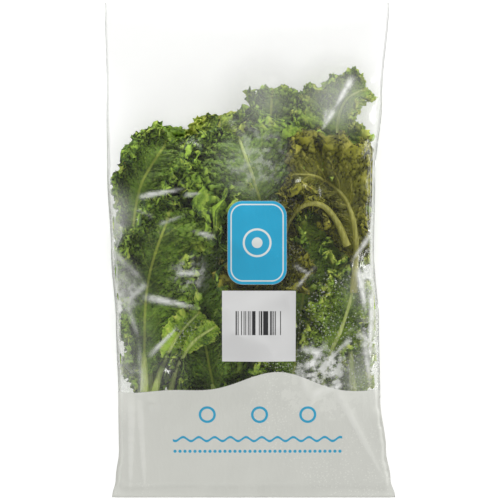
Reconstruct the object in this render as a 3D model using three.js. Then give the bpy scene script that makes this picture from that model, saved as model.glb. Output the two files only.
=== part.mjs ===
// Curly kale leaves in an open clear bag, laid on its back on a flat surface.
// Millimetres, +Z up, the mouth of the bag towards +Y, the origin on the surface under the bag.
import * as THREE from "three";

// The bag, a flat tube of clear film that is welded across its lower end and open at its mouth.
const BAG_END = -199;
const BAG_MOUTH = 199;
const FILM = 0.8;
const WELD_LENGTH = 9;
const SEAM_BAND = 3;
const MOUTH_GAP = 5;
const SEAM_LIFT = 17; // how high the side folds stand off the surface where the bag is full
const FLAT_SHARE = 0.5; // the share of the width that lies flat on the surface
const FILM_ROUNDS = 60; // how often the front film is drawn taut and laid on the leaves again
const BAG_COLUMNS = 12;
const BAG_ROWS = 24;
// How far the left and right fold reach at each place along the bag, because a filled bag draws in.
const FOLD_STATIONS = [
  { y: -199, left: -111, right: 117 },
  { y: -184, left: -108, right: 113 },
  { y: -160, left: -105, right: 109 },
  { y: -120, left: -105, right: 104 },
  { y: -60, left: -107, right: 103 },
  { y: 0, left: -111, right: 99 },
  { y: 60, left: -114, right: 100 },
  { y: 120, left: -115, right: 106 },
  { y: 199, left: -117, right: 112 },
];

// The paper sticker on the front film.
const STICKER = { x: 7, y: -60, width: 58, height: 56, thickness: 0.7, cells: 6 };

// The leaves.
const BLADE = 1.3; // a blade's height, which leaves 0.6 mm or more across it on a steep wave
const CLEARANCE = 0.7;
const SIDE_ROOM = { lowest: 8, highest: 16 }; // from the folds to the first and the last leaf
const PRESSED_ROOM = { from: 10, to: 50 }; // from the folds to where the film lets the waves stand up
const LOBE_SWELL = 1.14; // how far a margin's widest lobe reaches, as a share of the blade's width
const LAST_NUDGE = 0.5; // the most that a point is raised once the pile's heights are nearly right
const WAVE_LENGTH = 21;
const VEIN_SLANT = 0.55; // how far a side vein runs forward for each millimetre that it runs outward
const RIB_SHARES = [0.42, 1]; // where the corners of the rib's section stand, as shares of its radius
const RIB_HEIGHTS = [0.9, 0.4];
const INNER_COLUMN = 0.56; // the column of a blade between its rib and its edge

// The height map that the leaves are laid on, one after another.
const CELL = 1.5;
const MAP = { left: -126, low: -204, columns: 168, rows: 272 };

// Each leaf: its midrib from the cut end to the tip, the radius of its cut stem, how far along the blade
// starts, how far the blade reaches to the left and right of the way to the tip, and its waves' height.
const LEAVES = [
  {
    name: "leaf_under_left", tone: "green", face: 1, stations: 18, waves: 12,
    midrib: [[-52, -128], [-40, -60], [-37, 10], [-48, 86]],
    stem: 4.2, bladeFrom: 0.09, left: 42, right: 44,
  },
  {
    name: "leaf_under_right", tone: "green", face: -1, stations: 18, waves: 12,
    midrib: [[56, -128], [44, -58], [40, 12], [40, 88]],
    stem: 4.2, bladeFrom: 0.06, left: 42, right: 40,
  },
  {
    name: "leaf_under_middle", tone: "green", face: 1, stations: 18, waves: 12,
    midrib: [[6, -134], [2, -72], [0, 0], [8, 78]],
    stem: 4.5, bladeFrom: 0.08, left: 40, right: 42,
  },
  {
    name: "leaf_left_edge", tone: "green", face: 1, stations: 18, waves: 10,
    midrib: [[-80, -124], [-80, -58], [-78, 12], [-70, 74]],
    stem: 3.8, bladeFrom: 0.05, left: 24, right: 32,
  },
  {
    name: "leaf_right_edge", tone: "green", face: 1, stations: 18, waves: 10,
    midrib: [[84, -128], [79, -70], [74, 0], [68, 70]],
    stem: 3.8, bladeFrom: 0.06, left: 32, right: 20,
  },
  {
    name: "leaf_tall", tone: "pale", face: 1, stations: 24, waves: 13,
    midrib: [[36, -120], [24, -40], [14, 50], [18, 130]],
    stem: 4, bladeFrom: 0.42, left: 30, right: 26,
  },
  {
    name: "leaf_yellowing", tone: "pale", face: 1, stations: 20, waves: 12,
    midrib: [[-20, -96], [-22, -20], [-26, 50], [-24, 108]],
    stem: 3.4, bladeFrom: 0.45, left: 26, right: 24,
  },
  {
    name: "leaf_middle_left", tone: "green", face: 1, stations: 22, waves: 14,
    midrib: [[-26, -124], [-34, -84], [-42, -34], [-40, 24]],
    stem: 3.8, bladeFrom: 0.06, left: 34, right: 34,
  },
  {
    name: "leaf_middle_right", tone: "green", face: 1, stations: 22, waves: 14,
    midrib: [[30, -126], [36, -88], [42, -40], [46, 6]],
    stem: 3.6, bladeFrom: 0.06, left: 28, right: 30,
  },
  {
    name: "leaf_lower_right", tone: "green", face: 1, stations: 22, waves: 13,
    midrib: [[55, -122], [62, -88], [75, -56], [84, -22]],
    stem: 3.4, bladeFrom: 0.16, left: 26, right: 18,
  },
  {
    name: "leaf_centre", tone: "pale", face: -1, stations: 26, waves: 13,
    midrib: [[34, -62], [18, 4], [4, 52], [-10, 92]],
    stem: 4, bladeFrom: 0.22, left: 42, right: 38,
  },
  {
    name: "leaf_top_left", tone: "green", face: 1, stations: 30, waves: 15,
    midrib: [[-88, -60], [-93, -10], [-88, 48], [-64, 90]],
    stem: 3.8, bladeFrom: 0.24, left: 24, right: 44,
  },
  {
    name: "leaf_left_middle", tone: "green", face: 1, stations: 26, waves: 15,
    midrib: [[-84, -113], [-84, -70], [-80, -20], [-62, 32]],
    stem: 3.8, bladeFrom: 0.1, left: 24, right: 34,
  },
  {
    name: "leaf_top_right", tone: "pale", face: -1, stations: 26, waves: 12,
    midrib: [[84, 8], [82, 56], [70, 94], [77, 120], [94, 130]],
    stem: 3.2, bladeFrom: 0.2, left: 24, right: 18,
  },
  {
    name: "leaf_olive_arched", tone: "olive", face: -1, stations: 26, waves: 14,
    midrib: [[82, -34], [84, 8], [76, 40], [56, 57], [30, 60]],
    stem: 3.4, bladeFrom: 0.2, left: 40, right: 30,
  },
  {
    name: "leaf_olive_hooked", tone: "olive", face: -1, stations: 28, waves: 13,
    midrib: [[77, 3], [69, 22], [57, 35], [44, 36], [33, 26], [22, -4], [-2, -40]],
    stem: 3.4, bladeFrom: 0.46, left: 24, right: 30,
  },
  {
    name: "leaf_lower_left", tone: "pale", face: 1, stations: 18, waves: 8,
    midrib: [[-78, -122], [-71, -96], [-59, -70], [-40, -49]],
    stem: 3.6, bladeFrom: 0.5, left: 11, right: 11,
  },
  {
    name: "leaf_lower_middle", tone: "pale", face: 1, stations: 18, waves: 8,
    midrib: [[-66, -124], [-58, -94], [-45, -73], [-26, -60]],
    stem: 3.4, bladeFrom: 0.52, left: 11, right: 12,
  },
];

const FINISHES = {
  green: { color: 0x4b6b2a, roughness: 0.6 },
  pale: { color: 0x7f9a4c, roughness: 0.6 },
  olive: { color: 0x66672a, roughness: 0.65 },
  film: { color: 0xe9ecea, roughness: 0.15, transparent: true, opacity: 0.3 },
  paper: { color: 0xe6e6e4, roughness: 0.8 },
};

const clamp = THREE.MathUtils.clamp;
const smoothstep = THREE.MathUtils.smoothstep;

// A seeded draw, so that every leaf has its own waves and the same ones each time.
function seededRandom(seed) {
  let state = seed;
  return () => {
    state = (state * 1664525 + 1013904223) >>> 0;
    return state / 4294967296;
  };
}

// The x of the left or right fold at y, smooth through the stations.
function foldAt(side, y) {
  const at = clamp(y, BAG_END, BAG_MOUTH);
  let k = 0;
  while (k < FOLD_STATIONS.length - 2 && FOLD_STATIONS[k + 1].y < at) k++;
  const [a, b] = [FOLD_STATIONS[k], FOLD_STATIONS[k + 1]];
  return a[side] + (b[side] - a[side]) * smoothstep(at, a.y, b.y);
}

// How full the bag is at y, from 0 where its two films lie together to 1 round the leaves.
function fullness(y) {
  return smoothstep(y, BAG_END + 6, BAG_END + 75) * (1 - smoothstep(y, 70, 160));
}

// The height of the back film's outer face: flat in the middle, and rising to the folds.
function backHeight(x, y) {
  const [left, right] = [foldAt("left", y), foldAt("right", y)];
  const across = Math.abs((2 * x - left - right) / (right - left));
  return foldHeight(y) * smoothstep(across, FLAT_SHARE, 1.15) / smoothstep(1, FLAT_SHARE, 1.15);
}

function foldHeight(y) {
  return FILM + SEAM_LIFT * fullness(y);
}

// The highest surface laid so far, on a square grid of cells.
class HeightMap {
  constructor(heightAt) {
    const { columns, rows } = MAP;
    this.heights = new Float64Array(columns * rows);
    for (let j = 0; j < rows; j++)
      for (let i = 0; i < columns; i++) this.heights[j * columns + i] = heightAt(...this.place(i, j));
  }

  place(i, j) {
    return [MAP.left + (i + 0.5) * CELL, MAP.low + (j + 0.5) * CELL];
  }

  at(x, y) {
    const i = clamp(Math.floor((x - MAP.left) / CELL), 0, MAP.columns - 1);
    const j = clamp(Math.floor((y - MAP.low) / CELL), 0, MAP.rows - 1);
    return this.heights[j * MAP.columns + i];
  }

  // Visits each cell whose centre lies in the triangle or within a cell of it, with its three weights.
  eachCell(corners, visit) {
    const [a, b, c] = corners;
    const area = (b[0] - a[0]) * (c[1] - a[1]) - (c[0] - a[0]) * (b[1] - a[1]);
    if (Math.abs(area) < 1e-9) return;
    const longest = Math.max(distance(a, b), distance(b, c), distance(c, a));
    const slack = (0.75 * CELL * longest) / Math.abs(area);
    const low = (k) => Math.min(a[k], b[k], c[k]) - CELL;
    const high = (k) => Math.max(a[k], b[k], c[k]) + CELL;
    const fromI = Math.max(0, Math.floor((low(0) - MAP.left) / CELL));
    const toI = Math.min(MAP.columns - 1, Math.floor((high(0) - MAP.left) / CELL));
    const fromJ = Math.max(0, Math.floor((low(1) - MAP.low) / CELL));
    const toJ = Math.min(MAP.rows - 1, Math.floor((high(1) - MAP.low) / CELL));
    for (let j = fromJ; j <= toJ; j++)
      for (let i = fromI; i <= toI; i++) {
        const [x, y] = this.place(i, j);
        const v = ((x - a[0]) * (c[1] - a[1]) - (c[0] - a[0]) * (y - a[1])) / area;
        const w = ((b[0] - a[0]) * (y - a[1]) - (x - a[0]) * (b[1] - a[1])) / area;
        const u = 1 - v - w;
        if (u < -slack || v < -slack || w < -slack) continue;
        const weights = [u, v, w].map((s) => Math.max(0, s));
        const sum = weights[0] + weights[1] + weights[2];
        visit(j * MAP.columns + i, weights.map((s) => s / sum));
      }
  }

  // Raises the map to the upper face of a sheet.
  lay(sheet) {
    for (const t of sheet.triangles)
      this.eachCell(t.map((k) => sheet.points[k]), (cell, weights) => {
        const z = weights.reduce((sum, s, n) => sum + s * (sheet.points[t[n]][2] + sheet.up[t[n]]), 0);
        this.heights[cell] = Math.max(this.heights[cell], z);
      });
  }

  // A copy in which each cell has the mean of those within reach, for how a stiff leaf bridges gaps.
  softened(reach) {
    const soft = Object.create(HeightMap.prototype);
    soft.heights = this.heights.slice();
    for (let pass = 0; pass < 3; pass++) {
      soft.heights = runningMean(soft.heights, MAP.columns, MAP.rows, 1, MAP.columns, reach);
      soft.heights = runningMean(soft.heights, MAP.rows, MAP.columns, MAP.columns, 1, reach);
    }
    return soft;
  }
}

function distance(a, b) {
  return Math.hypot(a[0] - b[0], a[1] - b[1]);
}

function runningMean(values, length, lines, step, lineStep, reach) {
  const out = new Float64Array(values.length);
  for (let line = 0; line < lines; line++)
    for (let k = 0; k < length; k++) {
      let sum = 0;
      for (let d = -reach; d <= reach; d++)
        sum += values[line * lineStep + clamp(k + d, 0, length - 1) * step];
      out[line * lineStep + k * step] = sum / (2 * reach + 1);
    }
  return out;
}

// Raises a sheet's points, a little at a time, until its lower face clears the map everywhere.
function settle(sheet, map, clearance, rounds = 60) {
  for (let round = 0; round < rounds; round++) {
    const lift = new Float64Array(sheet.points.length);
    let worst = 0;
    for (const t of sheet.triangles) {
      const corners = t.map((k) => sheet.points[k]);
      map.eachCell(corners, (cell, weights) => {
        const z = weights.reduce((sum, s, n) => sum + s * (corners[n][2] - sheet.down[t[n]]), 0);
        const short = map.heights[cell] + clearance - z;
        if (short <= 0) return;
        worst = Math.max(worst, short);
        const share = short / weights.reduce((sum, s) => sum + s * s, 0);
        weights.forEach((s, n) => (lift[t[n]] = Math.max(lift[t[n]], s * share)));
      });
    }
    if (worst < 1e-3) return;
    sheet.points.forEach((p, k) => (p[2] += lift[k]));
  }
  for (const t of sheet.triangles)
    map.eachCell(t.map((k) => sheet.points[k]), (cell) => {
      for (const k of t) {
        const short = map.heights[cell] + clearance - (sheet.points[k][2] - sheet.down[k]);
        if (short > 0 && short < LAST_NUDGE) sheet.points[k][2] += short;
      }
    });
}

// The two triangles of each square of a grid, facing up, and split alike on its left and right half.
function gridTriangles(columns, rows) {
  const triangles = [];
  for (let j = 0; j < rows - 1; j++)
    for (let i = 0; i < columns - 1; i++) {
      const [a, b] = [j * columns + i, j * columns + i + 1];
      const [c, d] = [a + columns, b + columns];
      if (2 * i < columns - 1) triangles.push([a, b, d], [a, d, c]);
      else triangles.push([a, b, c], [b, d, c]);
    }
  return triangles;
}

// One closed body from a sheet: its upper face, the same triangles below, and a wall round both.
function sheetGeometry({ points, up, down, triangles, rim }) {
  const n = points.length;
  const top = points.map(([x, y, z], k) => [x, y, z + up[k]]);
  const bottom = points.map(([x, y, z], k) => [x, y, z - down[k]]);
  const faces = triangles.flatMap(([a, b, c]) => [[a, b, c], [n + a, n + c, n + b]]);
  const wall = rim.flatMap((a, k) => {
    const b = rim[(k + 1) % rim.length];
    return [[a, n + a, n + b], [a, n + b, b]];
  });
  return triangleGeometry([...top, ...bottom], [...faces, ...wall]);
}

// The outline of a grid of points, counterclockwise from above.
function gridRim(columns, rows) {
  const rim = [];
  for (let i = 0; i < columns - 1; i++) rim.push(i);
  for (let j = 0; j < rows - 1; j++) rim.push(j * columns + columns - 1);
  for (let i = columns - 1; i > 0; i--) rim.push((rows - 1) * columns + i);
  for (let j = rows - 1; j > 0; j--) rim.push(j * columns);
  return rim;
}

function triangleGeometry(points, triangles) {
  const geometry = new THREE.BufferGeometry();
  geometry.setAttribute("position", new THREE.Float32BufferAttribute(points.flat(), 3));
  geometry.setIndex(triangles.flat());
  geometry.computeVertexNormals();
  return geometry;
}

// How far a place lies outside the room that a leaf has between the folds.
function beyondRoom(x, y, room) {
  return Math.max(foldAt("left", y) + room - x, x - foldAt("right", y) + room);
}

// A blade's half width along it, from 0 where it starts to nearly 0 at the round tip.
function bladeProfile(along) {
  return along <= 0 ? 0 : Math.sin(Math.PI * Math.min(along, 0.985) ** 1.3) ** 0.6;
}

// A leaf as a sheet: rows of points across it from the cut end of its stem to its tip, and one more
// point on each margin between two rows of the blade, because the margin has the finest waves.
function leafSheet(leaf, seed, room) {
  const random = seededRandom(seed);
  const curve = new THREE.CatmullRomCurve3(
    leaf.midrib.map(([x, y]) => new THREE.Vector3(x, y, 0)),
    false,
    "centripetal",
  );
  const length = curve.getLength();
  const stemRows = Math.max(2, Math.round(leaf.stations * leaf.bladeFrom * 0.45));
  const lastRow = leaf.stations - 1;
  const rowPlace = (k) =>
    k < stemRows
      ? (leaf.bladeFrom * k) / stemRows
      : leaf.bladeFrom + ((1 - leaf.bladeFrom) * (k - stemRows)) / (lastRow - stemRows);
  const sides = ["left", "right"].map((name) => ({
    name,
    sign: name === "left" ? 1 : -1,
    phase: 6.28 * random(),
    drift: 0.8 + 0.5 * random(),
    last: null,
  }));
  const sheet = { points: [], up: [], down: [], triangles: [] };
  const add = ({ place, lift, above, below }) => {
    sheet.up.push(above);
    sheet.down.push(below);
    return sheet.points.push([...place, lift]) - 1;
  };
  const rows = [];
  const between = [];
  for (let half = 0; half <= 2 * lastRow; half++) {
    const along = (rowPlace(Math.floor(half / 2)) + rowPlace(Math.ceil(half / 2))) / 2;
    const halves = sides.map((side) => halfRow(leaf, curve, length, along, side, room));
    if (half % 2 === 0) rows.push([...halves[0], ...halves[1].reverse()].map(add));
    else between.push(half / 2 < stemRows ? null : halves.map((points) => add(points[0])));
  }
  for (let k = 0; k < lastRow; k++) {
    const [near, far] = [rows[k], rows[k + 1]];
    const edges = between[k];
    for (let i = 0; i < 7; i++) {
      const [a, b, c, d] = [near[i], near[i + 1], far[i], far[i + 1]];
      if (edges && i === 0) sheet.triangles.push([a, b, edges[0]], [b, d, edges[0]], [d, c, edges[0]]);
      else if (edges && i === 6) sheet.triangles.push([a, b, edges[1]], [a, edges[1], c], [c, edges[1], d]);
      else sheet.triangles.push([a, b, d], [a, d, c]);
    }
  }
  const up = (side, column) =>
    rows.flatMap((row, k) => (between[k] ? [row[column], between[k][side]] : [row[column]]));
  sheet.rim = [
    ...rows[0].slice(0, 7),
    ...up(1, 7),
    ...rows[lastRow].slice(1, 7).reverse(),
    ...up(0, 0).reverse(),
  ].slice(0, -1);
  return sheet;
}

// The four points on one side of a row: on the margin, on the blade, and on the rib.
function halfRow(leaf, curve, length, along, side, room) {
  const onBlade = (along - leaf.bladeFrom) / (1 - leaf.bladeFrom);
  const middle = curve.getPointAt(along);
  const forward = curve.getTangentAt(along);
  const radius = leaf.stem * (1 - 0.72 * along ** 0.8);
  const start = radius + 1.6;
  const at = (offset) => {
    const ahead = VEIN_SLANT * Math.max(0, offset - start);
    const x = middle.x - side.sign * forward.y * offset + forward.x * ahead;
    const y = middle.y + side.sign * forward.x * offset + forward.y * ahead;
    return [x, y];
  };
  const inside = Math.max(0, side.sign * bend(curve, along, length));
  const widthOf = (reach) => start + reach / (1 + inside * reach);
  let reach = leaf[side.name] * bladeProfile(onBlade);
  while (reach > 0.5 && beyondRoom(...at(widthOf(reach) * LOBE_SWELL), room) > 0) reach -= 0.5;
  const width = widthOf(reach);
  const edge = at(width);
  if (side.last) side.phase += (2 * Math.PI * distance(edge, side.last)) / WAVE_LENGTH;
  side.last = edge;
  const fine = Math.sin(side.phase);
  const broad = Math.sin(side.phase * 0.37 * side.drift + side.drift * 9);
  const pressed = smoothstep(-beyondRoom(...edge, 0), PRESSED_ROOM.from, PRESSED_ROOM.to);
  const waves = leaf.waves * Math.min(1, reach / 14) * (0.35 + 0.65 * pressed);
  const lobes = (0.07 * Math.cos(side.phase) + 0.07 * broad) * Math.min(1, reach / 14);
  const inner = radius + 0.8 + (width - radius - 0.8) * INNER_COLUMN;
  const thin = { above: BLADE / 2, below: BLADE / 2 };
  const points = [
    { place: at(width * (1 + lobes)), lift: waves * (0.5 + 0.34 * fine + 0.2 * broad), ...thin },
    { place: at(inner), lift: waves * (0.2 + 0.14 * broad), ...thin },
  ];
  for (const n of [1, 0]) {
    const ridge = Math.max(BLADE / 2, radius * RIB_HEIGHTS[n]);
    const sunk = onBlade > 0 ? Math.max(BLADE / 2, ridge * 0.75) : ridge;
    const [above, below] = leaf.face > 0 ? [sunk, ridge] : [ridge, sunk];
    points.push({ place: at(radius * RIB_SHARES[n]), lift: 0, above, below });
  }
  return points;
}

// How sharply the midrib turns to the left at a share of its length, in turns of a radian a millimetre.
function bend(curve, along, length) {
  const step = 0.02;
  const [from, to] = [Math.max(0, along - step), Math.min(1, along + step)];
  const [a, b] = [curve.getTangentAt(from), curve.getTangentAt(to)];
  return Math.asin(clamp(a.x * b.y - a.y * b.x, -1, 1)) / ((to - from) * length);
}

// Lays a leaf on what is under it: at the softened height of the pile, and then clear of it.
function layLeaf(leaf, index, map) {
  const { lowest, highest } = SIDE_ROOM;
  const room = lowest + ((highest - lowest) * index) / (LEAVES.length - 1);
  const sheet = leafSheet(leaf, 101 + 37 * index, room);
  const under = map.softened(8);
  for (const p of sheet.points) p[2] += under.at(p[0], p[1]);
  settle(sheet, map, CLEARANCE);
  map.lay(sheet);
  return sheet;
}

// Where the bag's columns stand across it, from -1 to 1, closer together towards the folds.
function columnShare(i) {
  return Math.sin((Math.PI / 2) * ((2 * i) / BAG_COLUMNS - 1));
}

// The front film's inner face: a taut skin over the leaves, from fold to fold.
function frontSheet(map) {
  const [columns, rows] = [BAG_COLUMNS + 1, BAG_ROWS + 1];
  const points = [];
  const fixed = [];
  for (let j = 0; j < rows; j++) {
    const y = j === 0 ? BAG_END + WELD_LENGTH : BAG_END + ((BAG_MOUTH - BAG_END) * j) / BAG_ROWS;
    const [left, right] = [foldAt("left", y) + SEAM_BAND, foldAt("right", y) - SEAM_BAND];
    for (let i = 0; i < columns; i++) {
      const share = columnShare(i);
      const x = (left + right) / 2 + (share * (right - left)) / 2;
      const onFold = i === 0 || i === BAG_COLUMNS || j === 0;
      const open = j === BAG_ROWS ? MOUTH_GAP : 1.2;
      const z = onFold ? foldHeight(y) : backHeight(x, y) + FILM + open * (1 - share * share);
      points.push([x, y, z]);
      fixed.push(onFold || j === BAG_ROWS);
    }
  }
  const zero = new Float64Array(points.length);
  const triangles = gridTriangles(columns, rows);
  const sheet = { points, up: zero, down: zero, columns, rows, triangles };
  const least = points.map((p) => p[2]);
  for (let round = 0; round < FILM_ROUNDS; round++) {
    settle(sheet, map, CLEARANCE, 4);
    points.forEach((p, k) => {
      p[2] = fixed[k] ? least[k] : Math.max(least[k], meanAround(points, k, columns));
    });
  }
  settle(sheet, map, CLEARANCE, 200);
  return sheet;
}

// The mean height of the four points round one, in which the nearer ones weigh more.
function meanAround(points, k, columns) {
  const around = [k - 1, k + 1, k - columns, k + columns].map((n) => points[n]);
  const weights = around.map((p) => 1 / distance(p, points[k]));
  const sum = around.reduce((total, p, n) => total + weights[n] * p[2], 0);
  return sum / weights.reduce((total, w) => total + w, 0);
}

// The bag as one closed body: outer faces, inner faces, and a rim that joins them at the mouth.
function bagGeometry(inner) {
  const [columns, rows] = [inner.columns, inner.rows];
  const points = [];
  const add = (p) => points.push(p) - 1;
  const grid = (make) => {
    const ids = [];
    for (let j = 0; j < rows; j++) for (let i = 0; i < columns; i++) ids.push(make(i, j));
    return ids;
  };
  const onEdge = (i, j) => i === 0 || i === BAG_COLUMNS || j === 0;
  const outward = (i, j) => {
    const [x, y] = inner.points[j * columns + i];
    const atY = j === 0 ? BAG_END : y;
    if (i === 0) return [foldAt("left", atY), atY];
    return i === BAG_COLUMNS ? [foldAt("right", atY), atY] : [x, atY];
  };
  const frontIn = grid((i, j) => add(inner.points[j * columns + i]));
  const backIn = grid((i, j) => {
    const [x, y] = inner.points[j * columns + i];
    return onEdge(i, j) ? frontIn[j * columns + i] : add([x, y, backHeight(x, y) + FILM]);
  });
  const frontOut = grid((i, j) => {
    const [x, y] = outward(i, j);
    if (onEdge(i, j)) return add([x, y, foldHeight(y)]);
    return add([x, y, inner.points[j * columns + i][2] + wallHeight(inner, i, j)]);
  });
  const backOut = grid((i, j) => {
    const [x, y] = outward(i, j);
    return onEdge(i, j) ? frontOut[j * columns + i] : add([x, y, backHeight(x, y)]);
  });
  const facingUp = gridTriangles(columns, rows);
  const facingDown = facingUp.map(([a, b, c]) => [a, c, b]);
  const triangles = [
    ...facingUp.map((t) => t.map((k) => frontOut[k])),
    ...facingDown.map((t) => t.map((k) => backOut[k])),
    ...facingDown.map((t) => t.map((k) => frontIn[k])),
    ...facingUp.map((t) => t.map((k) => backIn[k])),
  ];
  const last = (rows - 1) * columns;
  for (let i = 0; i < BAG_COLUMNS; i++) {
    const [a, b] = [last + i, last + i + 1];
    triangles.push([frontOut[a], frontOut[b], frontIn[b]], [frontOut[a], frontIn[b], frontIn[a]]);
    triangles.push([backOut[b], backOut[a], backIn[a]], [backOut[b], backIn[a], backIn[b]]);
  }
  return { geometry: triangleGeometry(points, triangles), front: frontOut.map((k) => points[k]) };
}

// The height between the film's faces that makes it a film thick on a slope.
function wallHeight(sheet, i, j) {
  const at = (di, dj) => {
    const column = clamp(i + di, 0, sheet.columns - 1);
    const row = clamp(j + dj, 0, sheet.rows - 1);
    return sheet.points[row * sheet.columns + column];
  };
  const slope = (a, b) => Math.abs(b[2] - a[2]) / Math.max(1, distance(a, b));
  const steepest = Math.max(
    slope(at(-1, 0), at(0, 0)),
    slope(at(0, 0), at(1, 0)),
    slope(at(0, -1), at(0, 0)),
    slope(at(0, 0), at(0, 1)),
  );
  return FILM * Math.min(2.2, Math.hypot(1, steepest));
}

// The sticker: a small sheet of paper that follows the front film.
function stickerSheet(map) {
  const { x, y, width, height, thickness, cells } = STICKER;
  const count = cells + 1;
  const points = [];
  for (let j = 0; j < count; j++)
    for (let i = 0; i < count; i++) {
      const [px, py] = [x + width * (i / cells - 0.5), y + height * (j / cells - 0.5)];
      points.push([px, py, map.at(px, py)]);
    }
  const half = new Float64Array(points.length).fill(thickness / 2);
  const triangles = gridTriangles(count, count);
  const sheet = { points, up: half, down: half, triangles, rim: gridRim(count, count) };
  settle(sheet, map, 0.35, 100);
  return sheet;
}

const bunch = new THREE.Group();

function addNode(name, geometry, finish) {
  const mesh = new THREE.Mesh(geometry, new THREE.MeshStandardMaterial(FINISHES[finish]));
  mesh.name = name;
  bunch.add(mesh);
}

const pile = new HeightMap((x, y) => backHeight(x, y) + FILM);
LEAVES.forEach((leaf, index) => {
  addNode(leaf.name, sheetGeometry(layLeaf(leaf, index, pile)), leaf.tone);
});

const bag = bagGeometry(frontSheet(pile));
addNode("bag", bag.geometry, "film");

const skin = new HeightMap(() => 0);
const none = new Float64Array(bag.front.length);
skin.lay({
  points: bag.front,
  up: none,
  triangles: gridTriangles(BAG_COLUMNS + 1, BAG_ROWS + 1),
});
addNode("sticker", sheetGeometry(stickerSheet(skin)), "paper");

export default bunch;
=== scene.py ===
# %% [markdown]
# # Curly kale in a clear bag
# The real thing is about eighteen loose leaves of curly kale, cut off with their stems and slid into a
# tube of clear film. The film is welded across its lower end and open at its mouth. It lies on its back,
# and the camera looks straight down on it.
#
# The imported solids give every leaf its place, its reach and its larger waves. This lesson grows the fine
# leaf over each of them, lays a thin film over the pile, prints the film and sticks a label on it.

# %% Load the frame
import math

import bpy
import numpy as np
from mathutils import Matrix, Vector
from mathutils.bvhtree import BVHTree


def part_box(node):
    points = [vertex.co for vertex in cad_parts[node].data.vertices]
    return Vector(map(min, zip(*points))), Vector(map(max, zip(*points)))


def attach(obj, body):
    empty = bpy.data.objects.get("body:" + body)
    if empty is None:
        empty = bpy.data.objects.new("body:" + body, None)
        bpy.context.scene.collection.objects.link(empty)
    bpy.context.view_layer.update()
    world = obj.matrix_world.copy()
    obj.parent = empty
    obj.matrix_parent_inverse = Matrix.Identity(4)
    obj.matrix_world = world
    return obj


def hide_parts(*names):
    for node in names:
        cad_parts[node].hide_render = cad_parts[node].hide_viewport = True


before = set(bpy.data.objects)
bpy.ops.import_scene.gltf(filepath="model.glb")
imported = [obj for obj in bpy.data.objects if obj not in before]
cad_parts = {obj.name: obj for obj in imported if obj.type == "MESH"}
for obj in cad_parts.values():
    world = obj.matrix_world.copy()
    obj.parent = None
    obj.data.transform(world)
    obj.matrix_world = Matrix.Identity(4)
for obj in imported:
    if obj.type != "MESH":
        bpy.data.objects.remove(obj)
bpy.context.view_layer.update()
MM = 0.001

# %% [markdown]
# ## Camera, floor and light
# A straight-down view has no horizon, so the floor is one pale plane. The camera stands two metres up
# with a long lens, which keeps the bag's sides parallel. The light is a pale sky with three long soft
# panels. They stand low and to the side, since a panel right over a flat film would only veil it, while
# a low one shines from its wrinkles alone.

# %% Camera and floor
FRAME_WIDTH = 0.4
CAMERA_HEIGHT = 2.0
OUTLINE_HEIGHT = 0.012
SENSOR = 36.0
FLOOR_SIZE = 6
FLOOR_DROP = 0.0005

bpy.ops.object.select_all(action="DESELECT")
bpy.ops.object.camera_add(location=(0, 0, CAMERA_HEIGHT), rotation=(0, 0, 0))
camera = bpy.context.object
camera.data.sensor_width = SENSOR
camera.data.lens = SENSOR * (CAMERA_HEIGHT - OUTLINE_HEIGHT) / FRAME_WIDTH
bpy.context.scene.camera = camera

bpy.ops.mesh.primitive_plane_add(size=FLOOR_SIZE, location=(0, 0, -FLOOR_DROP))
floor = bpy.context.object
floor.name = "floor"
print("lens", round(camera.data.lens, 1))


# %% Light
PANEL_TARGET = (0, 0, 0.02)
SKY_STRENGTH = 0.62


def panel(name, place, size, power):
    """A soft light that faces the bag."""
    bpy.ops.object.light_add(type="AREA", location=place)
    light = bpy.context.object
    light.name = name
    light.data.shape = "RECTANGLE"
    light.data.size, light.data.size_y = size
    light.data.energy = power
    towards = Vector(PANEL_TARGET) - Vector(place)
    light.rotation_euler = towards.to_track_quat("-Z", "Y").to_euler()
    print(name, power, "W")


panel("panel_head", place=(-0.3, 1.75, 0.56), size=(2.2, 0.3), power=31)
panel("panel_side", place=(1.7, 0.2, 0.7), size=(1.5, 0.3), power=13)
panel("panel_foot", place=(-0.8, -1.6, 0.7), size=(0.9, 0.25), power=7)

world = bpy.data.worlds.new("pale_sky")
bpy.context.scene.world = world
world.use_nodes = True
sky = world.node_tree.nodes["Background"]
sky.inputs["Color"].default_value = (1, 1, 0.99, 1)
sky.inputs["Strength"].default_value = SKY_STRENGTH
bpy.context.scene.view_settings.view_transform = "Standard"
bpy.context.scene.cycles.transparent_max_bounces = 24
bpy.context.scene.cycles.max_bounces = 8

# %% [markdown]
# ## Writing a finish as arithmetic
# A finish is a graph of nodes, which is easier to read as arithmetic. `Wire` wraps an output socket, so
# that `1 - mask * 0.5` makes its own Math nodes. `Finish.add` makes any other node: its settings go in
# first, because some of them change which sockets there are, and then its inputs.


# %% Wires
class Wire:
    """A node's output that can be added, multiplied and so on."""

    def __init__(self, finish, socket):
        self.finish = finish
        self.socket = socket

    def math(self, operation, *values):
        return self.finish.math(operation, *values)

    def __add__(self, other):
        return self.math("ADD", self, other)

    def __radd__(self, other):
        return self.math("ADD", other, self)

    def __sub__(self, other):
        return self.math("SUBTRACT", self, other)

    def __rsub__(self, other):
        return self.math("SUBTRACT", other, self)

    def __mul__(self, other):
        return self.math("MULTIPLY", self, other)

    def __rmul__(self, other):
        return self.math("MULTIPLY", other, self)

    def __pow__(self, other):
        return self.math("POWER", self, other)

    def __abs__(self):
        return self.math("ABSOLUTE", self)


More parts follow.
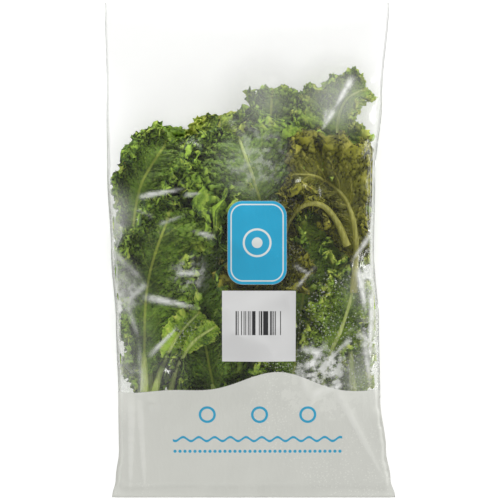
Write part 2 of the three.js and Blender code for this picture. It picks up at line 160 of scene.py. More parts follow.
# %% Finishes
class Finish:
    """A material whose nodes are made by expressions."""

    def __init__(self, name):
        self.material = bpy.data.materials.new(name)
        self.material.use_nodes = True
        self.tree = self.material.node_tree
        self.tree.nodes.clear()

    def add(self, kind, settings=None, inputs=None, output=0):
        node = self.tree.nodes.new(kind)
        for key, value in (settings or {}).items():
            setattr(node, key, value)
        for key, value in (inputs or {}).items():
            if isinstance(value, Wire):
                self.tree.links.new(value.socket, node.inputs[key])
            else:
                node.inputs[key].default_value = value
        return Wire(self, node.outputs[output])

    def math(self, operation, *values):
        return self.add("ShaderNodeMath", {"operation": operation}, dict(enumerate(values)))

    def place(self):
        """Object coordinates, which are the frame's metres."""
        return self.add("ShaderNodeTexCoord", output="Object")

    def parts(self, vector):
        node = self.tree.nodes.new("ShaderNodeSeparateXYZ")
        self.tree.links.new(vector.socket, node.inputs[0])
        return [Wire(self, socket) for socket in node.outputs]

    def attribute(self, name):
        return self.add("ShaderNodeAttribute", {"attribute_name": name}, output="Fac")

    def stretched(self, vector, scale):
        return self.add("ShaderNodeMapping", {}, {"Vector": vector, "Scale": scale})

    def noise(self, vector, scale, detail=2.0, roughness=0.5):
        inputs = {"Vector": vector, "Scale": scale, "Detail": detail, "Roughness": roughness}
        return self.add("ShaderNodeTexNoise", {}, inputs)

    def cells(self, vector, scale, feature="F1"):
        settings = {"feature": feature}
        return self.add("ShaderNodeTexVoronoi", settings, {"Vector": vector, "Scale": scale})

    def ramp(self, value, low, high):
        """0 below low, 1 above high, and smooth between them."""
        inputs = {"Value": value, "From Min": low, "From Max": high}
        return self.add("ShaderNodeMapRange", {"interpolation_type": "SMOOTHSTEP"}, inputs)

    def blend(self, factor, first, second):
        inputs = {0: factor, 6: first, 7: second}
        return self.add("ShaderNodeMix", {"data_type": "RGBA"}, inputs, output=2)

    def bump(self, height, strength, distance):
        inputs = {"Height": height, "Strength": strength, "Distance": distance}
        return self.add("ShaderNodeBump", {}, inputs)

    def glossy(self, inputs):
        return self.add("ShaderNodeBsdfPrincipled", {}, inputs)

    def surface(self, shader):
        output = self.tree.nodes.new("ShaderNodeOutputMaterial")
        self.tree.links.new(shader.socket, output.inputs["Surface"])
        return self.material


# %% Screen colours and the floor's finish
def srgb(red, green, blue):
    """A colour as it shows on a screen, from 0 to 255, turned into light."""
    parts = [c / 255 for c in (red, green, blue)]
    linear = [c / 12.92 if c <= 0.04045 else ((c + 0.055) / 1.055) ** 2.4 for c in parts]
    return (*linear, 1.0)


white = Finish("floor_white")
matt = white.glossy(
    {
        "Base Color": (0.93, 0.93, 0.93, 1),
        "Roughness": 0.9,
        "Emission Color": (1, 1, 1, 1),
        "Emission Strength": 0.35,
    }
)
floor.data.materials.append(white.surface(matt))
print("floor finish", floor.data.materials[0].name)

# %% [markdown]
# ## The leaves' plan
# A curly kale leaf is a stem and midrib with a blade on each side. The midrib is a smooth curve through
# a few points. The blade starts part of the way up, swells and closes at the tip, and its side veins
# slant forward, so a row of the blade runs outward and a little ahead. The curves and widths are those
# of the solids, but some blades start a little lower here, where ragged scraps of blade run down a real
# stem, and the two small leaves at the lower left show more of their stems.

# %% The bag's folds and the leaves
FOLD_Y = (-199, -184, -160, -120, -60, 0, 60, 120, 199)
FOLD_LEFT = (-111, -108, -105, -105, -107, -111, -114, -115, -117)
FOLD_RIGHT = (117, 113, 109, 104, 103, 99, 100, 106, 112)
VEIN_SLANT = 0.55
RIB_EDGE = 1.6
SIDE_ROOM = (3, 5)

# Each leaf: midrib points, stem radius, where the blade starts, its reach to the left and right, which
# face is up (-1 for the lower one), how light and how olive it is, and how fine it is made, from 1 deep
# inside the pile to 3 on top, with 4 for a small blade.
LEAVES = {
    "leaf_under_left": ([(-52, -128), (-40, -60), (-37, 10), (-51, 97)], 4.2, 0.04, 42, 44, 1, 0.5, 0, 1),
    "leaf_under_right": ([(56, -128), (44, -58), (40, 12), (40, 88)], 4.2, 0.03, 42, 40, -1, 1.1, 0, 1),
    "leaf_under_middle": ([(6, -134), (2, -72), (0, 0), (8, 78)], 4.5, 0.05, 40, 42, 1, 0.2, 0, 1),
    "leaf_left_edge": ([(-80, -124), (-80, -58), (-78, 12), (-70, 74)], 3.8, 0.03, 24, 32, 1, 0.9, 0, 2),
    "leaf_right_edge": ([(84, -128), (79, -70), (74, 0), (68, 70)], 3.8, 0.05, 32, 20, -1, 1.4, 0.15, 2),
    "leaf_tall": ([(36, -120), (24, -40), (14, 50), (18, 130)], 4, 0.42, 30, 26, 1, 0.9, 0.1, 2),
    "leaf_yellowing": ([(-20, -96), (-22, -20), (-26, 50), (-24, 108)], 3.4, 0.45, 19, 24, 1, 2.4, 0.3, 2),
    "leaf_middle_left": ([(-26, -124), (-34, -84), (-42, -34), (-40, 24)], 3.8, 0.02, 34, 34, 1, 0.3, 0, 3),
    "leaf_middle_right": ([(30, -126), (36, -88), (42, -40), (46, 6)], 3.6, 0.03, 28, 30, 1, 1.7, 0, 3),
    "leaf_lower_right": ([(55, -122), (62, -88), (75, -56), (84, -22)], 3.4, 0.16, 26, 18, -1, 1.5, 0.1, 3),
    "leaf_centre": ([(34, -62), (18, 4), (4, 52), (-10, 92)], 4, 0.22, 42, 38, -1, 0.6, 0, 3),
    "leaf_top_left": ([(-88, -60), (-93, -10), (-88, 48), (-64, 90)], 3.8, 0.24, 24, 44, 1, 0.55, 0, 3),
    "leaf_left_middle": ([(-84, -113), (-84, -70), (-80, -20), (-62, 32)], 3.8, 0.1, 24, 34, 1, 0.45, 0, 3),
    "leaf_top_right": (
        [(84, 8), (82, 56), (70, 94), (77, 120), (94, 130)], 3.2, 0.2, 24, 18, -1, 1.5, 0.1, 3,
    ),
    "leaf_olive_arched": (
        [(82, -34), (84, 8), (76, 40), (56, 57), (30, 60)], 3.4, 0.2, 40, 30, -1, 0.4, 1, 3,
    ),
    "leaf_olive_hooked": (
        [(77, 3), (69, 22), (57, 35), (44, 36), (33, 26), (22, -4), (-2, -40)],
        3.4, 0.46, 24, 30, -1, 0.35, 1, 3,
    ),
    "leaf_lower_left": ([(-78, -122), (-71, -96), (-59, -70), (-40, -49)], 3.8, 0.46, 7, 8, -1, 2.4, 0, 4),
    "leaf_lower_middle": ([(-66, -124), (-58, -94), (-45, -73), (-26, -60)], 3.4, 0.6, 5, 5, -1, 2.2, 0, 4),
}


# %% Smooth lines
def smooth_between(value, low, high):
    """0 at low, 1 at high, and smooth between them."""
    t = np.clip((value - low) / (high - low), 0, 1)
    return t * t * (3 - 2 * t)


def fold_at(folds, y):
    """The x of the bag's left or right fold at y."""
    y = np.clip(y, FOLD_Y[0], FOLD_Y[-1])
    k = np.clip(np.searchsorted(FOLD_Y, y) - 1, 0, len(FOLD_Y) - 2)
    at, reach = np.array(FOLD_Y, float), np.array(folds, float)
    return reach[k] + (reach[k + 1] - reach[k]) * smooth_between(y, at[k], at[k + 1])


def smooth_curve(points, steps=50):
    """A curve through the points, as close places along it and their distances from its start."""
    p = np.array(points, float)
    p = np.vstack([2 * p[0] - p[1], p, 2 * p[-1] - p[-2]])
    pieces = []
    for p0, p1, p2, p3 in zip(p, p[1:], p[2:], p[3:]):
        d0, d1, d2 = (np.sqrt(np.linalg.norm(b - a)) for a, b in ((p0, p1), (p1, p2), (p2, p3)))
        leave = ((p1 - p0) / d0 - (p2 - p0) / (d0 + d1) + (p2 - p1) / d1) * d1
        arrive = ((p2 - p1) / d1 - (p3 - p1) / (d1 + d2) + (p3 - p2) / d2) * d1
        t = np.linspace(0, 1, steps, endpoint=False)[:, None]
        square = (3 * (p2 - p1) - 2 * leave - arrive) * t**2
        pieces.append(p1 + leave * t + square + (2 * (p1 - p2) + leave + arrive) * t**3)
    line = np.vstack([*pieces, p[-2]])
    length = np.concatenate([[0], np.cumsum(np.linalg.norm(np.diff(line, axis=0), axis=1))])
    return line, length


print("leaves", len(LEAVES))


# %% Places on a leaf
class Leaf:
    """A leaf's plan: its midrib, and how far its blade reaches at each place along it."""

    def __init__(self, name, index):
        midrib, self.stem, self.blade_from, left, right, face, light, olive, detail = LEAVES[name]
        self.name, self.face, self.light, self.olive, self.detail = name, face, light, olive, detail
        self.line, self.length = smooth_curve(midrib)
        self.room = SIDE_ROOM[0] + (SIDE_ROOM[1] - SIDE_ROOM[0]) * index / (len(LEAVES) - 1)
        self.along = np.linspace(self.blade_from * 0.96, 1, 160)
        self.widths = [self.margin(1, left), self.margin(-1, right)]

    def middle(self, along):
        at = along * self.length[-1]
        return np.stack([np.interp(at, self.length, self.line[:, k]) for k in (0, 1)], axis=-1)

    def forward(self, along):
        ahead, behind = self.middle(np.minimum(along + 0.01, 1)), self.middle(np.maximum(along - 0.01, 0))
        step = ahead - behind
        return step / np.linalg.norm(step, axis=-1, keepdims=True)

    def radius(self, along):
        return self.stem * (1 - 0.72 * along**0.8)

    def place(self, along, offset, side):
        """The x and y at an offset from the midrib, to the left (side 1) or the right (side -1)."""
        middle, forward = self.middle(along), self.forward(along)
        ahead = VEIN_SLANT * np.maximum(0, offset - self.radius(along) - RIB_EDGE)
        x = middle[..., 0] - side * forward[..., 1] * offset + forward[..., 0] * ahead
        y = middle[..., 1] + side * forward[..., 0] * offset + forward[..., 1] * ahead
        return x, y

    def margin(self, side, reach):
        """The blade's width on one side, narrower on the inside of a bend and next to a fold."""
        along = self.along
        share = np.clip((along - self.blade_from) / (1 - self.blade_from), 0, 0.999)
        from_foot = self.blade_from <= 0.12
        slowness, fullness = (1.0, 0.4) if from_foot else (1.3, 0.6)
        reach = reach * np.sin(np.pi * share**slowness) ** fullness
        a, b = self.forward(np.maximum(along - 0.02, 0)), self.forward(np.minimum(along + 0.02, 1))
        turn = np.arcsin(np.clip(a[:, 0] * b[:, 1] - a[:, 1] * b[:, 0], -1, 1)) / (0.04 * self.length[-1])
        inside = np.maximum(0, side * turn)
        start = self.radius(along) + RIB_EDGE
        for _ in range(90):
            width = start + reach / (1 + inside * reach)
            x, y = self.place(along, width * 1.1, side)
            past_left = fold_at(FOLD_LEFT, y) + self.room - x
            past_right = x - fold_at(FOLD_RIGHT, y) + self.room
            reach = np.where((np.maximum(past_left, past_right) > 0) & (reach > 0.5), reach - 0.5, reach)
        return width


leaves = [Leaf(name, index) for index, name in enumerate(LEAVES)]
print("longest midrib, mm", round(max(leaf.length[-1] for leaf in leaves)))

# %% [markdown]
# ## The height under each leaf
# The solids lie on one another without touching, so the fine blade takes its height from its own solid.
# A ray from above and one from below find the solid's two faces, and halfway between them is the blade.
# Where the fine margin reaches past the solid, it keeps the last height that was found. The two films of
# the bag's solid give the room that the leaves have between them.


# %% Rays onto the solids
def tree_of(name):
    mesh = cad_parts[name].data
    corners = [v.co for v in mesh.vertices]
    return BVHTree.FromPolygons(corners, [tuple(p.vertices) for p in mesh.polygons])


def hit(tree, x, y, up):
    """The height of the first face that a vertical ray meets, in millimetres, or nan."""
    start, way = ((x * MM, y * MM, -0.05), (0, 0, 1)) if up else ((x * MM, y * MM, 0.3), (0, 0, -1))
    found = tree.ray_cast(Vector(start), Vector(way))[0]
    return found.z / MM if found else math.nan


def softened(values, passes):
    """Averages a grid with its neighbours, first one way and then the other."""
    for _ in range(passes):
        for axis in (0, 1):
            padded = np.pad(values, [(1, 1) if a == axis else (0, 0) for a in (0, 1)], mode="edge")
            low = np.take(padded, range(values.shape[axis]), axis)
            high = np.take(padded, range(2, values.shape[axis] + 2), axis)
            values = (low + 2 * values + high) / 4
    return values


# %% A blade's height
def blade_heights(leaf, columns=13):
    """The blade's middle height on a coarse grid, from the right margin to the left one."""
    tree = tree_of(leaf.name)
    share = np.linspace(-1, 1, 2 * columns - 1)
    heights = np.full((len(leaf.along), len(share)), math.nan)
    for j, s in enumerate(share):
        side = 1 if s > 0 else -1
        width = leaf.widths[0] if s > 0 else leaf.widths[1]
        x, y = leaf.place(leaf.along, abs(s) * width, side)
        for i in range(len(leaf.along)):
            heights[i, j] = (hit(tree, x[i], y[i], True) + hit(tree, x[i], y[i], False)) / 2
    middle = columns - 1
    column = heights[:, middle]
    known = ~np.isnan(column)
    heights[:, middle] = np.interp(leaf.along, leaf.along[known], column[known])
    for j in range(1, columns):
        for k, inner in ((middle + j, middle + j - 1), (middle - j, middle - j + 1)):
            heights[:, k] = np.where(np.isnan(heights[:, k]), heights[:, inner], heights[:, k])
    return softened(heights, 2)


print("blade heights of", leaves[0].name, blade_heights(leaves[0]).shape)

# %% The bag's heights
CELL = 2.0
grid_x = np.arange(-118, 118.1, CELL)
grid_y = np.arange(-200, 200.1, CELL)
bag_tree = tree_of("bag")
solid_top = np.array([[hit(bag_tree, x, y, False) for x in grid_x] for y in grid_y])
solid_under = np.array([[hit(bag_tree, x, y, True) for x in grid_x] for y in grid_y])
inside = ~np.isnan(solid_top)
print("film heights read", int(inside.sum()), "highest", round(float(np.nanmax(solid_top)), 1))


def grid_value(grid, x, y):
    """The value of a grid over the bag at any x and y."""
    u = np.clip((x - grid_x[0]) / CELL, 0, len(grid_x) - 1.001)
    v = np.clip((y - grid_y[0]) / CELL, 0, len(grid_y) - 1.001)
    i, j = u.astype(int), v.astype(int)
    a, b = u - i, v - j
    low = grid[j, i] * (1 - a) + grid[j, i + 1] * a
    return low * (1 - b) + (grid[j + 1, i] * (1 - a) + grid[j + 1, i + 1] * a) * b


def filled(heights):
    """Gives every place outside the bag the height of the nearest place inside it."""
    result = heights.copy()
    for lines in (result, result.T):
        for line in lines:
            known = np.flatnonzero(~np.isnan(line))
            if len(known):
                line[:] = np.interp(np.arange(len(line)), known, line[known])
    return result


roof = filled(solid_top)
ground = filled(solid_under)

# %% Ceilings
# How far the fine film gives way over the solid's one, and the height of a leaf where it isn't.
FILM_GIVE = 3.5
NOWHERE = 99.0


def under_side(leaf):
    """The height of a leaf's lower face over the whole bag, and a great height where the leaf isn't."""
    tree = tree_of(leaf.name)
    low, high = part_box(leaf.name)
    height = np.full(roof.shape, NOWHERE)
    for j in np.flatnonzero((grid_y > low[1] / MM) & (grid_y < high[1] / MM)):
        for i in np.flatnonzero((grid_x > low[0] / MM) & (grid_x < high[0] / MM)):
            found = hit(tree, grid_x[i], grid_y[j], True)
            height[j, i] = NOWHERE if math.isnan(found) else found
    return height


# Each leaf's ceiling is the film, or the lowest of the leaves that lie on it.
ceilings = {}
ceiling = roof + FILM_GIVE
for leaf in reversed(leaves):
    ceilings[leaf.name] = ceiling
    ceiling = np.minimum(ceiling, under_side(leaf))
print("covered cells of the lowest leaf", int((ceilings[leaves[0].name] < roof).sum()))

# %% [markdown]
# ## Growing the curls
# A kale blade grows more at its margin than at its rib, and the extra length has nowhere to go but up,
# down and over itself. The margin is rolled up first, and then the blade is pushed four times along its
# own normals, and sideways too, which makes the crests lean over. Each time the waves are shorter and
# keep closer to the margin, and they are measured along the margin as it then is. The longest waves are
# pleats that run out from the rib, and the shorter ones are round tufts. What a point was raised by is
# kept as its crest, which the finish turns into a painted highlight on raised curls and painted shade in
# the hollows. The film presses on the highest curls, so they are eased down under the roof that the
# bag's solid gives.

# %% Curls
# Each curl: its wave length and height in millimetres, its lean, the share of the blade where it starts,
# and how round it is, from 0 for a pleat that runs out from the rib to 1 for a round tuft.
CURLS = (
    (32.0, 3.4, 0.3, 0.04, 0.0),
    (14.0, 3.0, 0.6, 0.06, 0.7),
    (7.2, 2.7, 0.8, 0.1, 1.0),
    (3.6, 1.4, 0.8, 0.18, 1.0),
)
ROLL_FROM = 0.35
ROLL_MIDDLE = math.radians(50)
ROLL_SPREAD = math.radians(80)
print("curls", len(CURLS), "the shortest", CURLS[-1][0], "mm long")


# %% Roll the margin
def frames(points):
    """The unit directions along the blade and out of it at every point of a grid."""
    along, across = np.gradient(points, axis=0), np.gradient(points, axis=1)
    normal = np.cross(across, along)
    normal /= np.linalg.norm(normal, axis=2, keepdims=True) + 1e-9
    along /= np.linalg.norm(along, axis=2, keepdims=True) + 1e-9
    return along, normal


def wander(random, count, knots):
    """A smooth random line between -1 and 1."""
    return np.interp(np.linspace(0, knots, count), np.arange(knots + 1), random.uniform(-1, 1, knots + 1))


def rolled(points, share, random):
    """Rolls the margin up and over, more in some places than in others."""
    rows, columns = share.shape
    middle = columns // 2
    along, normal = frames(points)
    up = normal * np.sign(normal[..., 2:] + 1e-9)
    result = points.copy()
    for way in (1, -1):
        roll = ROLL_MIDDLE + ROLL_SPREAD * wander(random, rows, 9)
        for j in range(1, middle + 1):
            at, before = middle + way * j, middle + way * (j - 1)
            step = points[:, at] - points[:, before]
            size = np.linalg.norm(step, axis=1, keepdims=True)
            middle_share = (abs(share[0, at]) + abs(share[0, before])) / 2
            turn = (roll * np.clip((middle_share - ROLL_FROM) / (1 - ROLL_FROM), 0, 1) ** 1.1)[:, None]
            result[:, at] = result[:, before] + np.cos(turn) * step + np.sin(turn) * size * up[:, at]
    return result


# %% Push the curls
def curled(points, share, reach, random):
    """Pushes a flat blade into curls, and curls into smaller curls."""
    rows, columns = share.shape
    middle = columns // 2
    tip = smooth_between(np.linspace(0, 1, rows), 0.9, 1.0)[:, None]
    outness = np.maximum(np.abs(share), 0.85 * tip)
    crest = np.zeros((rows, columns))
    for wave, height, lean, start, roundness in CURLS:
        along, normal = frames(points)
        outward = np.cross(normal, along)
        growth = np.clip((outness - start) / (1 - start), 0, 1) ** (1.2 - 0.45 * roundness)
        shift = np.zeros((rows, columns))
        power = np.zeros((rows, columns))
        for half, edge in ((slice(0, middle), 2), (slice(middle, columns), columns - 3)):
            steps = np.linalg.norm(np.diff(points[:, edge], axis=0), axis=1)
            run = np.concatenate([[0], np.cumsum(steps)])
            knots = max(3, int(run[-1] / wave))
            phase = 2 * np.pi * (run / wave + 0.3 * wander(random, rows, knots) + random.random())
            strength = 1 + 0.5 * wander(random, rows, knots)
            round_tip = (tip * reach)[:, half] * 5 / wave
            shift[:, half] = phase[:, None] + 1.3 * np.abs(share[:, half]) + round_tip
            power[:, half] = strength[:, None]
        turn = 2 * np.pi * reach / wave * roundness + random.random() * 6 + 1.2 * np.sin(0.6 * shift)
        shift = shift + 0.9 * roundness * np.sin(0.7 * turn + random.random() * 6)
        ring = 1 - roundness + roundness * np.cos(turn)
        push = growth * power * height
        bulge = np.sin(shift) * ring
        points = points + (push * bulge)[..., None] * normal
        points = points + (push * lean * np.cos(shift) * ring)[..., None] * along
        points = points - (push * lean * roundness * np.sin(shift) * np.sin(turn))[..., None] * outward
        # The crest is how far a point was raised towards the top. The finish uses it for a painted
        # highlight on raised curls and painted shade in the hollows.
        crest = crest + growth * power * bulge * np.sign(normal[..., 2]) * (0.1 + 0.5 * roundness)
    return points, crest


# %% Where a blade's points stand
# How fine each kind of leaf is: the step of its rows in millimetres, and the columns on each side of its
# rib.
GRIDS = {1: (1.5, 14), 2: (0.75, 22), 3: (0.52, 31), 4: (0.5, 16)}
MARGIN_SWELL = 1.24


def resampled(coarse, along_from, along_to, share_to):
    """A coarse grid's heights at finer places along and across the blade."""
    rows = np.stack([np.interp(along_to, along_from, coarse[:, j]) for j in range(coarse.shape[1])], 1)
    share_from = np.linspace(-1, 1, coarse.shape[1])
    return np.stack([np.interp(share_to, share_from, row) for row in rows])


def blade_points(leaf, random):
    """The fine blade as a grid of points, with each point's share of the way to the margin."""
    row_step, half = GRIDS[leaf.detail]
    rows = int((1 - leaf.along[0]) * leaf.length[-1] / row_step)
    outward = 1 - (1 - np.linspace(0, 1, half + 1)) ** 1.15
    share = np.concatenate([-outward[:0:-1], outward])
    along = np.linspace(leaf.along[0], 1, rows)
    heights = resampled(blade_heights(leaf), leaf.along, along, share)
    teeth = []
    for _ in leaf.widths:
        small, large = wander(random, rows, rows // 9), wander(random, rows, rows // 26)
        teeth.append(1 + 0.05 * small + 0.07 * large)
    points = np.zeros((rows, len(share), 3))
    for j, s in enumerate(share):
        side = 1 if s > 0 else -1
        width = np.interp(along, leaf.along, leaf.widths[0 if s > 0 else 1])
        swell = 1 + (MARGIN_SWELL * teeth[0 if s > 0 else 1] - 1) * abs(s) ** 2
        x, y = leaf.place(along, abs(s) * width * swell, side)
        points[:, j] = np.stack([x, y, heights[:, j]], axis=1)
    grid_share = np.broadcast_to(share, (rows, len(share)))
    narrow = np.minimum(1, np.interp(along, leaf.along, np.minimum(*leaf.widths)) / 14)[:, None]
    narrow = narrow * (0.6 if leaf.detail == 4 else 1)
    return points, grid_share, along, np.broadcast_to(narrow, grid_share.shape)


# %% Keep a leaf in the bag
FROM_FOLD = 3
FROM_BACK = 1.0
EASED = 3


def kept_in_bag(points, ceiling):
    """Eases points down under what lies above, up from the back film, and in from the folds."""
    x, y, z = points[..., 0], points[..., 1], points[..., 2]
    left, right = fold_at(FOLD_LEFT, y) + FROM_FOLD, fold_at(FOLD_RIGHT, y) - FROM_FOLD
    x = np.clip(x, left, right)
    top = grid_value(ceiling, x, y)
    low = grid_value(ground, x, y) + FROM_BACK
    over = np.maximum(0, z - (top - EASED))
    z = np.where(over > 0, top - EASED + EASED * np.tanh(over / (2 * EASED)), z)
    under = np.maximum(0, low + EASED - z)
    z = np.where(under > 0, low + EASED - EASED * np.tanh(under / (2 * EASED)), z)
    return np.stack([x, y, z], axis=-1)


# %% Grids of points as meshes
def grid_object(name, points):
    """A grid whose corners stand at the points, which are in millimetres."""
    rows, columns = points.shape[:2]
    bpy.ops.object.select_all(action="DESELECT")
    bpy.ops.mesh.primitive_grid_add(x_subdivisions=columns - 1, y_subdivisions=rows - 1, size=0.1)
    grid = bpy.context.object
    grid.name = name
    grid.location = (0, 0, 0)
    grid.data.vertices.foreach_set("co", (points * MM).astype(np.float32).ravel())
    return grid


def keep_values(grid, name, values):
    """Gives each corner of a grid a value, for its finish to read."""
    attribute = grid.data.attributes.new(name, "FLOAT", "POINT")
    attribute.data.foreach_set("value", values.astype(np.float32).ravel())


def thicken(grid, thickness, offset):
    solidify = grid.modifiers.new("thickness", "SOLIDIFY")
    solidify.thickness = thickness * MM
    solidify.offset = offset
    bpy.ops.object.modifier_apply(modifier="thickness")


# %% Make a blade
BLADE_THICKNESS = 0.45


def blade_object(leaf, random):
    """Adds the blade as a grid, places its corners, and gives it its thickness."""
    points, share, along, narrow = blade_points(leaf, random)
    flat = points.copy()
    reach = 1.25 * np.linalg.norm(flat - flat[:, share.shape[1] // 2, None], axis=2)
    points, crest = curled(rolled(points, share, random), share, reach, random)
    points = kept_in_bag(flat + (points - flat) * narrow[..., None], ceilings[leaf.name])
    blade = grid_object(leaf.name.replace("leaf_", "kale_"), points[:, ::-1])
    mesh = blade.data
    run = along * leaf.length[-1]
    aside = np.where(share > 0, *(np.interp(along, leaf.along, w)[:, None] for w in leaf.widths)) * share
    flat_uv = np.stack([np.broadcast_to(run[:, None], aside.shape), aside], axis=-1)[:, ::-1] * MM
    corner = np.empty(len(mesh.loops), np.int32)
    mesh.loops.foreach_get("vertex_index", corner)
    mesh.uv_layers[0].data.foreach_set("uv", flat_uv.reshape(-1, 2)[corner].astype(np.float32).ravel())
    keep_values(blade, "margin", np.abs(share)[:, ::-1])
    keep_values(blade, "crest", crest[:, ::-1])
    thicken(blade, BLADE_THICKNESS, 0)
    bpy.ops.object.shade_smooth()
    return blade


# %% [markdown]
# ## Stems and midribs
# The stem is a pale fleshy rod that thins all the way up the leaf and is cut square at its foot. It is a
# curve with a round section whose radius follows the rod, turned into a mesh. Where the leaf lies face
# up, the rib is sunk into the blade and thinner, and where it lies face down, the rib stands on it.


# %% The height of a stem
STEM_ROUND = 0.92


def stem_line(leaf):
    """The places along a stem, their heights and the stem's radius there."""
    tree = tree_of(leaf.name)
    along = np.linspace(0, 0.97, 60)
    middle = leaf.middle(along)
    heights = np.array([(hit(tree, x, y, True) + hit(tree, x, y, False)) / 2 for x, y in middle])
    known = ~np.isnan(heights)
    heights = np.interp(along, along[known], heights[known])
    heights = softened(heights[:, None], 3)[:, 0]
    on_blade = smooth_between(along, leaf.blade_from, leaf.blade_from + 0.2)
    radius = leaf.radius(along)
    deeper = smooth_between(along, leaf.blade_from + 0.15, leaf.blade_from + 0.45)
    sunk = -1.15 * on_blade - 0.5 * deeper
    heights = heights + radius * (sunk if leaf.face > 0 else 0.4 * on_blade)
    if leaf.face > 0:
        radius = radius * (1 - 0.6 * smooth_between(along, leaf.blade_from, leaf.blade_from + 0.3))
    heights = np.maximum(heights, grid_value(ground, *middle.T) + STEM_ROUND * radius + 0.3)
    return middle, heights, radius


# %% Make a stem
def stem_object(leaf):
    middle, heights, radius = stem_line(leaf)
    bpy.ops.object.select_all(action="DESELECT")
    bpy.ops.curve.primitive_nurbs_path_add()
    stem = bpy.context.object
    curve = stem.data
    curve.splines.clear()
    spline = curve.splines.new("POLY")
    spline.points.add(len(middle) - 1)
    for point, (x, y), z, r in zip(spline.points, middle, heights, radius):
        point.co = (x * MM, y * MM, z * MM, 1)
        point.radius = r * STEM_ROUND
    curve.dimensions = "3D"
    curve.bevel_depth = MM
    curve.bevel_resolution = 3
    curve.use_fill_caps = True
    bpy.ops.object.convert(target="MESH")
    stem = bpy.context.object
    stem.location = (0, 0, 0)
    bpy.ops.object.shade_smooth_by_angle(angle=math.radians(50))
    return stem


# %% [markdown]
# ## The leaf's finish
# Curly kale's margin is lighter than its blade, almost yellow. The finish also paints each curl by how far
# it was raised: raised crests lighter, a painted highlight, and hollows dark and dull, painted shade. The
# blade has pale side veins that leave the midrib every centimetre or so, and a net of fine ones between
# them. The older leaves have turned olive. Its skin is waxy: it shines softly, and a fine bump of cells
# breaks the shine up.

# %% Leaf colours
# Each part's colour on a green leaf and on an olive one.
DARK = srgb(20, 40, 10), srgb(24, 28, 4)
MID = srgb(76, 116, 32), srgb(90, 94, 14)
# CREST is the margin's lighter colour, and also the painted highlight on raised curls.
CREST = srgb(172, 208, 70), srgb(166, 164, 46)
PALE = srgb(206, 216, 98), srgb(186, 180, 84)
BURNT = srgb(172, 130, 48)
YOUNG_STEM = srgb(214, 226, 138), srgb(176, 174, 84)
RIPE_STEM = srgb(180, 202, 98), srgb(142, 140, 52)


def mixed(first, second, share):
    return np.array(first) * (1 - share) + np.array(second) * share


print("the lightest part is", [round(float(part), 2) for part in mixed(*PALE, 0)[:3]])


# %% The blade's finish
def leaf_finish(leaf):
    f = Finish(leaf.name.replace("leaf_", "kale_") + "_blade")
    place = f.place()
    margin = f.attribute("margin")
    height = f.attribute("crest")
    uv = f.add("ShaderNodeUVMap", {"uv_map": "UVMap"})
    run, across, _ = f.parts(uv)
    dark, mid, crest, pale = (mixed(*pair, leaf.olive) for pair in (DARK, MID, CREST, PALE))
    dark = mixed(dark, mid, 0.35 * leaf.light)
    mid = mixed(mid, crest, 0.45 * leaf.light)
    broad = f.noise(place, 45, 3)
    fine = f.noise(place, 420, 3, 0.6)
    edge = f.ramp(margin + (broad - 0.5) * 0.3, 0.55, 1.0)
    # Painted highlight and painted shade: the higher a curl was raised, the nearer it is to the crest
    # colour, and the lower, the nearer to the dark one, beside the random mottling.
    raised_highlight = f.ramp(height + (fine - 0.5) * 1.4, -0.35, 0.75)
    body = f.blend(f.ramp(broad + (fine - 0.5) * 0.5 + height * 0.12, 0.3, 0.66), tuple(dark), tuple(mid))
    body = f.blend(raised_highlight * (0.35 + 0.65 * edge) * min(1, 0.72 + 0.28 * leaf.light), body, tuple(crest))
    sunny = 0.14 * max(0, leaf.light - 1)
    yellow = f.ramp(f.noise(place, 90, 2), 0.48 - sunny, 0.64 - sunny) * edge * raised_highlight
    body = f.blend(yellow * min(1, 0.45 + 0.55 * leaf.light), body, tuple(pale))
    burnt = f.ramp(f.noise(place, 380, 2), 0.7, 0.75) * edge
    body = f.blend(burnt * 0.8, body, BURNT)
    slanted = run - abs(across) * 0.9
    lines = abs(f.math("FRACT", slanted * 72) - 0.5) * 2
    side_vein = f.ramp(lines, 0.86, 0.98) * (1 - f.ramp(margin, 0.5, 0.85))
    net = 1 - f.ramp(f.cells(uv, 330, "DISTANCE_TO_EDGE"), 0.02, 0.1)
    rib = 1 - f.ramp(abs(across), 0.0004, 0.0014)
    veins = rib * min(0.9, 0.35 + 0.2 * leaf.light) + side_vein * (0.16 + 0.3 * leaf.olive)
    veins = veins + net * 0.08 * (1 - f.ramp(margin, 0.7, 0.95))
    body = f.blend(veins, body, tuple(pale))
    relief = f.cells(uv, 330, "SMOOTH_F1") * 0.6 + side_vein * 0.5 + fine * 0.3
    shader = f.glossy(
        {
            "Base Color": body,
            "Roughness": 0.42 + 0.2 * fine,
            "Normal": f.bump(relief, 0.35, 0.0006),
            "Specular IOR Level": 0.28,
        }
    )
    return f.surface(shader)


# %% The stem's finish
def stem_finish(leaf):
    f = Finish(leaf.name.replace("leaf_", "kale_") + "_stem")
    place = f.place()
    streaks = f.noise(f.stretched(place, (1, 0.12, 1)), 700, 2)
    young, ripe = mixed(*YOUNG_STEM, leaf.olive), mixed(*RIPE_STEM, leaf.olive)
    body = f.blend(f.ramp(streaks, 0.35, 0.68), tuple(ripe), tuple(young))
    shader = f.glossy(
        {
            "Base Color": body,
            "Roughness": 0.38 + 0.15 * streaks,
            "Normal": f.bump(streaks, 0.3, 0.0004),
        }
    )
    return f.surface(shader)


